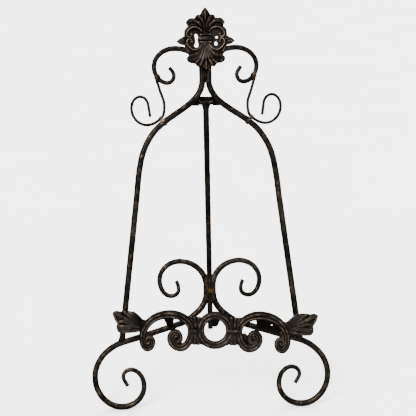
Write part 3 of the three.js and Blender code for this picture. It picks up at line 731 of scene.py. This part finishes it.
CREST_RIMS = [  # the same
    # the thin rims of the two small C-scrolls
    [(5.0, 484.2, 8.6, 0.9, 1.3), (8.4, 487.6, 9.8, 1.0, 1.6), (14, 489.2, 10.2, 1.05, 1.7),
     (19.6, 487.6, 10.2, 1.05, 1.7), (23.5, 483.2, 10.0, 1.05, 1.6), (23.8, 478.9, 9.6, 1.0, 1.5),
     (21.2, 476.5, 9.2, 1.0, 1.4), (18.7, 477.6, 8.8, 1.1, 1.3)],
    [(5.0, 466.8, 8.6, 0.9, 1.3), (8.6, 462, 9.6, 1.0, 1.6), (14.4, 459.9, 10.0, 1.05, 1.7),
     (19.8, 462.6, 10.0, 1.05, 1.7), (23.7, 467.8, 9.8, 1.05, 1.6), (23.6, 472.2, 9.4, 1.0, 1.5),
     (20.9, 474.7, 9.0, 1.0, 1.4), (18.6, 473.5, 8.6, 1.1, 1.2)],
    # the outer band behind the rims
    [(20.5, 490.2, 7.4, 1.5, 1.2), (25.0, 486.2, 7.8, 1.5, 1.3), (26.2, 480, 7.8, 1.4, 1.3),
     (26.0, 474, 7.8, 1.4, 1.3), (25.8, 467, 7.6, 1.4, 1.2), (22.0, 458.4, 7.4, 1.3, 1.1)],
    # the side bud and the leaf under it
    [(25.8, 473.8, 7.8, 2.4, 1.6), (29.6, 472.8, 8.6, 3.4, 2.4), (33.4, 471.8, 8.4, 2.7, 2.0),
     (36.3, 471.2, 7.8, 1.2, 1.1)],
    [(28.6, 477.0, 8.2, 0.8, 1.6), (28.9, 473.8, 10.3, 0.8, 1.0), (28.4, 470.4, 8.2, 0.8, 1.4)],
    [(22.5, 466.4, 7.5, 1.4, 1.2), (29.6, 468.2, 7.6, 1.3, 1.2)],
]
# The left slot is one ragged hole, and on the right a web of metal has closed it to two.
CREST_HOLES = [
    [(-13.9, 480.4), (-12.6, 481.5), (-10.5, 479.8), (-9.8, 477.0), (-10.5, 474.2), (-10.6, 471.4),
     (-9.7, 468.4), (-9.5, 465.9), (-10.8, 464.1), (-12.8, 463.7), (-14.6, 464.8), (-14.4, 466.8),
     (-13.2, 469.2), (-12.9, 473), (-13.4, 476.4), (-14.2, 478.8)],
    ellipse(1.5, 1.6, 16, (14.1, 476.3)), ellipse(1.8, 2.5, 16, (13.0, 468.3)),
]
CREST_EYES = ((18.0, 480.6, 8.2, 1.9), (17.9, 471.0, 8.1, 1.9))  # x, s, n and radius in the small scrolls
CREST_MIDDLE = [
    # the pointed bud with its ridge, the stem, the lower leaf's middle and its tip
    [(0, 497.6, 7.6, 0.8, 1.0), (0, 502, 8.0, 3.2, 1.8), (0, 506.6, 8.2, 4.7, 2.1),
     (0, 510.6, 7.9, 3.1, 1.8), (0, 514.2, 7.2, 0.9, 1.1)],
    [(0, 499, 9.2, 0.6, 0.8), (0, 506, 10.5, 0.85, 1.2), (0, 512.6, 8.9, 0.5, 0.8)],
    [(0, 479.6, 7.6, 4.2, 1.5), (0, 486, 7.4, 3.8, 1.5), (0, 493, 7.2, 1.8, 1.2)],
    [(0, 470, 7.8, 3.4, 1.6), (0, 460, 8.0, 3.4, 1.6), (0, 449, 7.8, 3.2, 1.4)],
    [(0, 462, 9.0, 0.9, 1.0), (0, 452, 10.0, 1.4, 1.5), (0, 443.4, 9.6, 1.5, 1.4),
     (0, 436.4, 8.6, 0.9, 1.0)],
]
CREST_ROLLS = ((474.9, 9.7, 3.2, 2.8), (479.6, 8.2, 1.2, 1.2), (470.2, 8.2, 1.2, 1.2))  # s, n, half sizes
ROLL_REACH = 6.4  # half the length of the rolls between the slots


def crest():
    clay = Clay()
    right = outline(CREST_TOP, CREST_HALF)
    left = right[::-1] * (-1, 1)
    plate(clay, np.concatenate([right, [CREST_HALF[-1][2:]], left[:-1]]), *CREST_PLATE, CREST_HOLES)
    for side, _ in SIDES:
        for ribs, wider in ((CREST_RIBS, RIB_WIDER), (CREST_RIMS, RIM_WIDER)):
            for controls in ribs:
                rib(clay, [(side * x, s, n, wider * w, CREST_RELIEF * d) for x, s, n, w, d in controls])
        for x, s, n, radius in CREST_EYES:
            ball(clay, (side * x, s, n), radius)
    for controls in CREST_MIDDLE:
        rib(clay, controls)
    for s, n, tall, deep in CREST_ROLLS:
        rib(clay, [(-ROLL_REACH, s, n, tall, deep), (0, s, n + 0.2, tall * 0.94, deep),
                   (ROLL_REACH, s, n, tall, deep)], sides=20)
    clay.verts = [v + (CREST_SHIFT, 0, 0) for v in clay.verts]
    data = fused(clay.mesh("crest", to_row), "crest", 0.4, 2)
    mark_casting(data, 26, 0.5)
    keep(data, "crest", "frame", ["crest_casting"], CAST)


# ---------------------------------------------------------------- ledge casting

LEDGE_BACK = 33.5  # n of the flat back
BAND_MIDDLE = 35.2  # n of the middle of the C-scrolls' band
RIDGE_MIDDLE = 36.5  # and of the ridges that run on it
SCROLL_EYES = ((83.4, -13.2, 6.2), (48.0, -8.8, 8.2))  # x, height and radius of the discs in the curls
FLASH = ellipse(4.6, 7.6, 20, (37.0, -9.6))  # never cleared from beside the right inner curl
LEAF_RIB_WIDER = 1.35
LEAF_RELIEF = 0.95
LEAF_START = (90, -0.6)
LEAF = [  # x and height of each curve's control point and of its end
    (100, -4.6, 112, -3.8), (117.6, -4.4, 121.4, -3.2), (125.4, 2.2, 122.4, 7.4), (127.4, 12, 128.8, 18.4),
    (127.2, 22.2, 121, 20.8), (112, 23.4, 104, 21.4), (97.5, 18.9, 92, 13.4), (88, 11, 83, 10.4),
    (84.4, 4, 90, -0.6),
]
LEAF_RIBS = [  # rows of x, height, n, half width and half depth
    [(90.6, 10.4, 36.0, 1.2, 1.2), (96.8, 15.9, 37.1, 1.6, 1.7), (102.6, 20.3, 36.6, 1.4, 1.4)],
    [(92.4, 9.4, 36.3, 1.15, 1.2), (99.6, 14.6, 37.5, 1.5, 1.7), (107.6, 20.5, 36.9, 1.5, 1.5)],
    [(93.8, 8.1, 36.5, 1.15, 1.3), (102.8, 12.9, 37.6, 1.5, 1.7), (113.2, 20.5, 37.0, 1.6, 1.5)],
    [(95.4, 6.8, 36.6, 1.2, 1.3), (106.6, 10.6, 37.6, 1.6, 1.7), (116.6, 15.6, 37.6, 1.7, 1.7),
     (126.2, 19.8, 36.8, 1.5, 1.4)],
    [(94.6, 5.6, 36.4, 1.1, 1.2), (104, 7.3, 37.2, 1.4, 1.5), (115, 9.7, 37.0, 1.6, 1.5),
     (121.4, 8.6, 36.2, 1.3, 1.2)],
    [(127.4, 18.9, 36.7, 1.1, 1.6), (125.0, 13.3, 36.9, 1.3, 1.6), (121.4, 7.8, 36.2, 1.3, 1.4)],
    [(118.6, 19.9, 36.9, 1.2, 1.3), (123.8, 21.0, 36.8, 1.1, 1.3), (127.4, 19.2, 36.6, 1.1, 1.4)],
    [(93.2, 3.6, 36.3, 1.3, 1.3), (102.2, 3.9, 37.1, 1.8, 1.8), (112.4, 3.0, 37.0, 2.3, 2.0),
     (119.2, 3.4, 36.2, 2.1, 1.6)],
    [(94.6, 0.4, 36.0, 1.2, 1.2), (105.6, -1.7, 36.6, 1.5, 1.5), (115, -1.9, 36.5, 1.5, 1.4),
     (120.4, 0.4, 35.9, 1.2, 1.2)],
    [(83.5, 8.6, 35.6, 2.6, 1.8), (90, 7.0, 35.9, 4.2, 2.0), (98, 7.4, 35.3, 5.6, 1.6)],
]
WAIST = 23  # x of the strapped waist between a C-scroll and the ring
WAIST_START = (14.5, -15)
WAIST_SIDES = [(23, -18, 31.5, -15), (28, 0, 31.5, 15), (23, 18, 14.5, 15), (18, 0, 14.5, -15)]
STRAPS = ((0.3, 1.35, 38.0), (-2.1, 0.7, 37.5))  # height, half height and n
RING = 18.5  # radius to the middle of its band
RING_UP = 0.7  # the ring sits a little above the straps
RING_RIDGES = ((20.1, 2.0, 2.1), (15.9, 1.2, 1.7))  # radius, half width and half depth


def scroll_band(clay, side):
    """A C-scroll's band, with a broad ridge outside its middle and a thin one inside."""
    points, tangents, halves = course(one_side(C_SCROLL, side), 0.9)
    across = np.column_stack([-tangents[:, 1], tangents[:, 0]])
    flat = np.column_stack([points, np.full(len(points), BAND_MIDDLE)])
    tube(clay, flat, tangents, halves, np.full(len(points), 2.2), end="round", square=0.6)
    for out, wide, rise in ((0.27, 0.4, 2.15), (-0.52, 0.25, 1.75)):
        line = points - across * (side * out * halves)[:, None]
        raised = np.column_stack([line, np.full(len(line), RIDGE_MIDDLE)])
        tube(clay, raised, np.gradient(line, axis=0), halves * wide, rise * (0.45 + 0.11 * halves), sides=14,
             end="round")
    for x, h, radius in SCROLL_EYES:
        plate(clay, np.array(ellipse(radius, radius, 28)) + (side * x, h), LEDGE_BACK, 36.1)


def leaf(clay, side):
    plate(clay, outline(LEAF_START, LEAF, side), 33.7, 36.2)
    for controls in LEAF_RIBS:
        rib(clay, [(side * x, h, n, LEAF_RIB_WIDER * w, LEAF_RELIEF * d) for x, h, n, w, d in controls])


def bundle(clay, side):
    """Flutes tied by a strap, where a C-scroll meets the ring."""
    plate(clay, outline(WAIST_START, WAIST_SIDES, side), LEDGE_BACK, 35.6)
    for dx in (-5.6, -1.9, 1.9, 5.6):
        for up in (1, -1):
            rib(clay, [(side * (WAIST + 0.6 * dx), 1.2 * up, 36.0, 1.1, 1.2),
                       (side * (WAIST + 0.95 * dx), 8 * up, 36.5, 1.75, 1.4),
                       (side * (WAIST + 1.4 * dx), 15.0 * up, 35.8, 1.9, 1.2)])
    for h, tall, n in STRAPS:
        rib(clay, [(side * (WAIST - 7.4), h, n - 0.5, tall, 1.3), (side * WAIST, h, n, tall, 1.35),
                   (side * (WAIST + 7.2), h, n - 0.5, tall, 1.3)])


def ring(clay):
    turn = 2 * math.pi * np.arange(90) / 90
    around = np.column_stack([np.cos(turn), np.sin(turn), np.zeros(len(turn))])
    closed_loop(clay, around * RING + (0, RING_UP, 35.3), around, ellipse(5.2, 2.2, 28, square=0.6))
    for radius, wide, rise in RING_RIDGES:
        closed_loop(clay, around * radius + (0, RING_UP, RIDGE_MIDDLE), around, ellipse(wide, rise, 14))


def ledge():
    clay = Clay()
    for side, _ in SIDES:
        scroll_band(clay, side)
        leaf(clay, side)
        if side > 0:
            plate(clay, FLASH, LEDGE_BACK, 34.9)
        bundle(clay, side)
    # all but the ring is a little taller than its rows say, most of all the curls
    clay.verts = [np.column_stack([v[:, 0], 1.06 * v[:, 1] + 0.03 * np.minimum(v[:, 1], 0), v[:, 2]])
                  for v in clay.verts]
    ring(clay)
    data = fused(clay.mesh("ledge", on_ledge), "ledge", 0.5, 2)
    mark_casting(data, 20, 0.6)
    keep(data, "ledge", "frame", ["ledge_casting"], CAST)


# ---------------------------------------------------------------- ledge lugs

LUG_SLOPE = math.atan2(13.5, 27.7)
LUG_ROOT = (16.5, 33.1)  # height and n of a lug's upper end, against the ledge's back
LUG_HALF = 7.4  # half its width at the root
LUG_TIP = 3.75  # radius of its round lower end
LUG_THICK = 3.3
LUGS = ((-58, "left", 2.2), (0, "centre", 5.0), (58, "right", 2.2))  # x, name and n where it ends


def lug(x, word, back):
    """A tapered plate that slopes down and back from the ledge to the foot bar."""
    length = (LUG_ROOT[1] - 0.4 - back) / math.cos(LUG_SLOPE)
    arc = np.linspace(0, math.pi, 15)
    tip = [(LUG_TIP * math.cos(a), length - LUG_TIP + LUG_TIP * math.sin(a)) for a in arc]
    clay = Clay()
    plate(clay, [(-LUG_HALF, -0.6), (LUG_HALF, -0.6), *tip], -LUG_THICK / 2, LUG_THICK / 2)
    across, down, up = np.concatenate(clay.verts).T
    h = LUG_ROOT[0] - down * math.sin(LUG_SLOPE) + up * math.cos(LUG_SLOPE)
    n = LUG_ROOT[1] - down * math.cos(LUG_SLOPE) - up * math.sin(LUG_SLOPE)
    clay.verts = [np.column_stack([x + across, h, n])]
    data = fused(clay.mesh(f"{word}_lug", on_ledge), f"{word}_lug", 0.45, 3)
    mark_casting(data, 20, 0.5)
    keep(data, f"{word}_lug", "frame", [f"{word}_ledge_lug"], BLACK)


SCRAP = [  # x and height
    (55, 15.4), (64, 15.2), (72, 14.2), (80.5, 9), (84.4, 2.6), (82.0, -1.5), (74.5, 1.0), (66.5, 3.0),
    (58, 5),
]
SCRAP_HOLE = ellipse(0.9, 0.8, 12, (71.2, 7.9))
SCRAP_LUMPS = ((64.5, 11, 31.6, 2.2), (67.4, 6.2, 32.6, 1.9), (76.6, 7.4, 32.6, 2.2), (80.5, 2.4, 32.4, 1.8))


def arch_scrap():
    """A scrap of plate that only the right arch has, between it and the foot bar."""
    clay = Clay()
    plate(clay, SCRAP, 31.2, 33.4, [SCRAP_HOLE])
    for x, h, n, size in SCRAP_LUMPS:
        ball(clay, (x, h, n), size, 0.7)
    data = fused(clay.mesh("right_arch_scrap", on_ledge), "right_arch_scrap", 0.4, 3)
    mark_casting(data, 14, 0.6)
    keep(data, "right_arch_scrap", "frame", (), BLACK)


# ---------------------------------------------------------------- hinge

PLATE_LOW = 396.9  # s
PLATE_HIGH = 401.9
PLATE_HALF = 9.3
EAR_INSIDE = 8.75  # x of an ear's inner side
WEB_THICK = 2.35
WEB_ROUND = 4.1  # radius of the web's end about the pin
FLANGE = [(EAR_INSIDE, 390.2), (18.7, 390.2), (18.7, 393), (13.2, PLATE_HIGH), (EAR_INSIDE, PLATE_HIGH)]
HINGE_BACK = -6.7  # n
HALF_PIN = [  # radius and x: the shank, then its riveted head
    (2.0, 0), (2.0, 11.4), (2.05, 11.6), (2.9, 11.62), (2.98, 11.8), (2.9, 12.3), (2.5, 12.85), (1.7, 13.15),
    (0.7, 13.25),
]
BARREL = [  # radius and x, outside and then back through the bore
    (2.3, -8.6), (3.0, -8.72), (3.27, -8.5), (3.3, -4), (3.3, 0), (3.3, 4), (3.27, 8.5), (3.0, 8.72),
    (2.3, 8.6), (2.28, 4), (2.28, 0), (2.28, -4),
]
HEEL = [(-3.8, 2.1), (3.8, 2.1), (3.8, 5.6), (-3.8, 5.6)]  # x, and height over the pin
TURNED_SIDES = 40


def stop_plate():
    clay = Clay()
    edge = [(x, s) for s in (PLATE_LOW, PLATE_HIGH) for x in (-PLATE_HALF, PLATE_HALF)]
    plate(clay, [edge[0], edge[1], edge[3], edge[2]], HINGE_BACK, -4.35)
    data = fused(clay.mesh("stop_plate", to_row), "stop_plate", 0.25, 3)
    mark_casting(data, 14, 0.3)
    keep(data, "stop_plate", "frame", ["hinge_plate"], BLACK)


def round_pin(radius, angles):
    return [(PIN_S + radius * math.cos(a), -PIN_BEHIND + radius * math.sin(a)) for a in angles]


def ear(side, word):
    """A flange behind the bars, and a web that stands back from it and holds the pin."""
    clay = Clay()
    plate(clay, [(side * a, b) for a, b in FLANGE], HINGE_BACK, -4.4)
    # the web's outline is drawn in s and n, and its thickness runs along x
    web = round_pin(WEB_ROUND, np.linspace(-math.pi, 0, 17))
    web += [(PIN_S + WEB_ROUND, -4.5), (PIN_S - WEB_ROUND, -4.5)]
    cheek = Clay()
    plate(cheek, web, EAR_INSIDE, EAR_INSIDE + WEB_THICK, [round_pin(2.25, 2 * math.pi * np.arange(24) / 24)])
    s, n, x = np.concatenate(cheek.verts).T
    clay.add(np.column_stack([side * x, s, n]), cheek.faces)
    data = fused(clay.mesh(f"{word}_ear", to_row), f"{word}_ear", 0.28, 2)
    mark_casting(data, 14, 0.3)
    keep(data, f"{word}_ear", "frame", [f"{word}_hinge_ear"], BLACK)


def turned(profile, closed=False):
    """A piece turned about the pin's axis from rows of radius and x, with flat ends or as a closed ring."""
    angle = 2 * math.pi * np.arange(TURNED_SIDES) / TURNED_SIDES
    verts = [(x, r * math.cos(a), r * math.sin(a)) for r, x in profile for a in angle]
    faces = ring_faces(len(profile), TURNED_SIDES, closed)
    if not closed:
        last = len(verts) - TURNED_SIDES
        faces += [tuple(range(TURNED_SIDES))[::-1], tuple(last + k for k in range(TURNED_SIDES))]
    return np.array(verts), faces


def hinge_pin():
    clay = Clay()
    profile = [(r, -x) for r, x in HALF_PIN[:0:-1]] + HALF_PIN
    verts, faces = turned(profile)
    clay.add(verts + (0, PIN_S, -PIN_BEHIND), faces)
    data = clay.mesh("pin", to_row)
    mark_casting(data, 6, 0.3)
    keep(data, "pin", "frame", ["hinge_pin"], BLACK)


def barrel():
    """The barrel, and the heel on it that meets the stop plate."""
    clay = Clay()
    clay.add(*turned(BARREL, closed=True))
    # the heel is drawn upright behind the plate, then turned back to the leg's own frame
    heel = Clay()
    plate(heel, HEEL, 1.05, 2.95)
    x, z, y = np.concatenate(heel.verts).T
    c, s = math.cos(LEAN + LEG_ANGLE), math.sin(LEAN + LEG_ANGLE)
    clay.add(np.column_stack([x, y * c + z * s, z * c - y * s]), heel.faces)
    data = fused(clay.mesh("barrel", on_leg), "barrel", 0.26, 2)
    # strong copper on the barrel, as scuffs and painted highlight
    mark_bar(data, 0.9)
    keep(data, "barrel", "leg", ["leg_barrel"], BARS)


# ---------------------------------------------------------------- rear leg

LEG_END = 397.1  # below the pin, before the foot is cut level
LEG_FLARE = 12  # length over which the flattened top turns round
LEG_FLARE_WIDE = 6.3
LEG_FLARE_THIN = 2.6
LEG_STREAKS = ((188, 8, 0.7), (205, 6, 0.5), (224, 7, 0.6), (120, 5, 0.3))  # below the pin, radius, strength


def leg():
    down = np.concatenate([np.linspace(2.65, 14, 18), np.linspace(15.2, LEG_END, 330)])
    share = np.clip(down / LEG_FLARE, 0, 1)
    share = share * share * (3 - 2 * share)
    line = np.column_stack([np.zeros_like(down), -down, np.zeros_like(down)])
    clay = Clay()
    tube(clay, line, np.tile((0.0, -1.0), (len(down), 1)), LEG_FLARE_WIDE + (BAR - LEG_FLARE_WIDE) * share,
         LEG_FLARE_THIN + (BAR - LEG_FLARE_THIN) * share, dents=0.16)
    x, z, y = np.concatenate(clay.verts).T
    clay.verts = [np.column_stack([x, y, z])]
    data = clay.mesh("leg", on_leg)
    cut_level(data)
    mark_bar(data, 0.35, [(on_leg((0, -3, -d)), radius, strength) for d, radius, strength in LEG_STREAKS])
    # the leg's darker bronze is painted shade
    keep(data, "leg", "leg", ["leg_rod"], SHADED)


# ---------------------------------------------------------------- all pieces

for side, word in SIDES:
    main_bar(side, word)
    foot_bar(side, word)
    wire(side, word)
    band(side, word, "upper", (62.1, 427.6), -128, *hoop())
    band(side, word, "lower", (54.4, 369.2), 140.5, *belt())
    foot_weld(side, word)
neck_welds()
crest()
ledge()
for x, word, back in LUGS:
    lug(x, word, back)
arch_scrap()
stop_plate()
for side, word in SIDES:
    ear(side, word)
hinge_pin()
barrel()
leg()


# ---------------------------------------------------------------- floor, light, camera

FLOOR_HALF = 14  # metres
VIEW_ANGLE = math.radians(24.4)
VIEW_FROM = 1240.0  # millimetres in front of the frame's plane
AIM_S = 257.6  # up the slope
ROLL = math.radians(1.15)


def studio_floor():
    n = Nodes("studio_floor")
    shade = n.span(n.noise(3, 3, 0.5), 0.3, 0.7)
    n.link(n.mix(shade, (0.9, 0.9, 0.9), (0.93, 0.93, 0.93)), n.shader.inputs["Base Color"])
    n.shader.inputs["Roughness"].default_value = 0.9
    n.shader.inputs["Specular IOR Level"].default_value = 0.1
    grid = bmesh.new()
    bmesh.ops.create_grid(grid, x_segments=8, y_segments=8, size=FLOOR_HALF)
    data = bpy.data.meshes.new("floor")
    grid.to_mesh(data)
    grid.free()
    data.materials.append(n.material)
    floor = bpy.data.objects.new("floor", data)
    bpy.context.scene.collection.objects.link(floor)


def studio_world():
    world = bpy.data.worlds.new("studio")
    world.use_nodes = True
    world.node_tree.nodes["Background"].inputs["Color"].default_value = (1, 1, 1, 1)
    world.node_tree.nodes["Background"].inputs["Strength"].default_value = 1.35
    bpy.context.scene.world = world


def far_light(name, coming_from, power, spread):
    """A large soft light a long way off, so the floor is lit evenly."""
    lamp = bpy.data.lights.new(name, "SUN")
    lamp.energy = power
    lamp.angle = math.radians(spread)
    holder = bpy.data.objects.new(name, lamp)
    holder.rotation_mode = "QUATERNION"
    holder.rotation_quaternion = (-Vector(coming_from)).to_track_quat("-Z", "Y")
    bpy.context.scene.collection.objects.link(holder)


def photo_camera():
    """Square to the leaning frame, and rolled a little."""
    camera = bpy.data.objects.new("camera", bpy.data.cameras.new("camera"))
    bpy.context.scene.collection.objects.link(camera)
    bpy.context.scene.camera = camera
    camera.data.angle = VIEW_ANGLE
    eye = Vector(to_row((0, AIM_S, VIEW_FROM)))
    ahead = (Vector(to_row((0, AIM_S, 0.0))) - eye).normalized()
    level = ahead.cross(Vector((0, 0, 1))).normalized()
    up = level.cross(ahead) * math.cos(ROLL) + level * math.sin(ROLL)
    camera.rotation_mode = "QUATERNION"
    camera.rotation_quaternion = Matrix((ahead.cross(up), up, -ahead)).transposed().to_quaternion()
    camera.location = eye
    camera.data.clip_start = 0.05
    camera.data.clip_end = 60


studio_floor()
studio_world()
far_light("key", (-0.5, -0.8, 0.85), 8.5, 32)
far_light("fill", (0.9, -0.8, 0.45), 2.2, 50)
far_light("top", (0.1, 0.35, 1.0), 3.4, 60)
far_light("rear", (0.6, 1.0, 0.6), 6, 40)
photo_camera()
